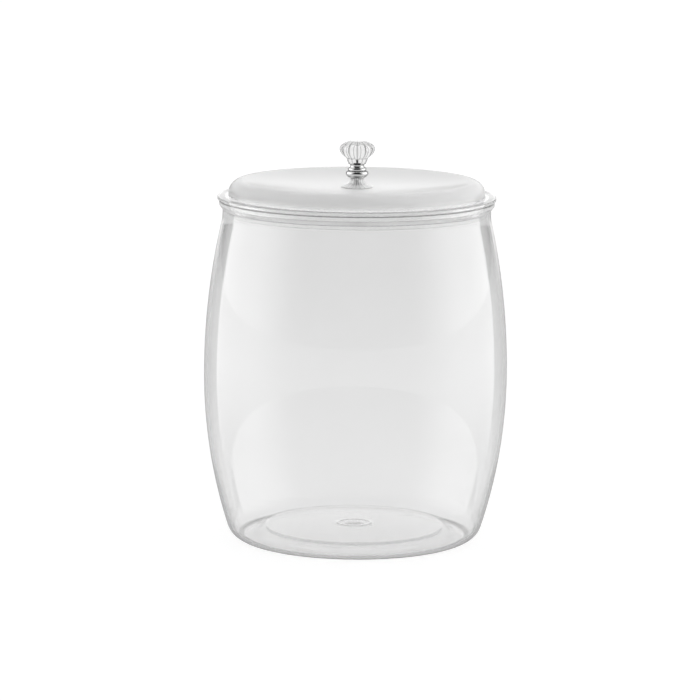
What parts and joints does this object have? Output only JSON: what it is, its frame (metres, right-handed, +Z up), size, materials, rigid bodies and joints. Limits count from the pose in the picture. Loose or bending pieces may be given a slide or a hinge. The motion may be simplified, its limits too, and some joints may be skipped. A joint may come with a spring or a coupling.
{
  "type": "storage jar",
  "caption": "Clear barrel-shaped storage jar for cereal and other dry food, with a dished lift-off lid and a fluted crystal knob on a chrome stem.",
  "frame": {"origin": "centre of the standing ring under the jar, in the plane that the jar rests on", "axes": "+Z up along the jar's axis of revolution, +X to the right in the picture, +Y away from the viewer"},
  "size_m": [0.2167, 0.2166, 0.2859],
  "materials": {
    "clear_plastic": "clear, polished",
    "crystal": "clear, polished, fluted",
    "chrome": "mirror plate",
    "steel": "bright zinc plate",
    "soft_pad": "translucent soft plastic"
  },
  "bodies": {
    "jar": {"jar_body": "clear_plastic"},
    "lid": {"lid_shell": "clear_plastic", "foot_pad": "soft_pad", "stem_foot": "chrome", "stem_cup": "chrome", "knob_crystal": "crystal", "knob_insert": "steel", "lid_washer": "soft_pad", "screw_washer": "steel", "knob_screw": "steel"}
  },
  "joints": [
    {"name": "lid_lift", "type": "slide", "parent": "jar", "child": "lid", "axis": [0, 0, 1], "range_m": [0, 0.15]}
  ]
}
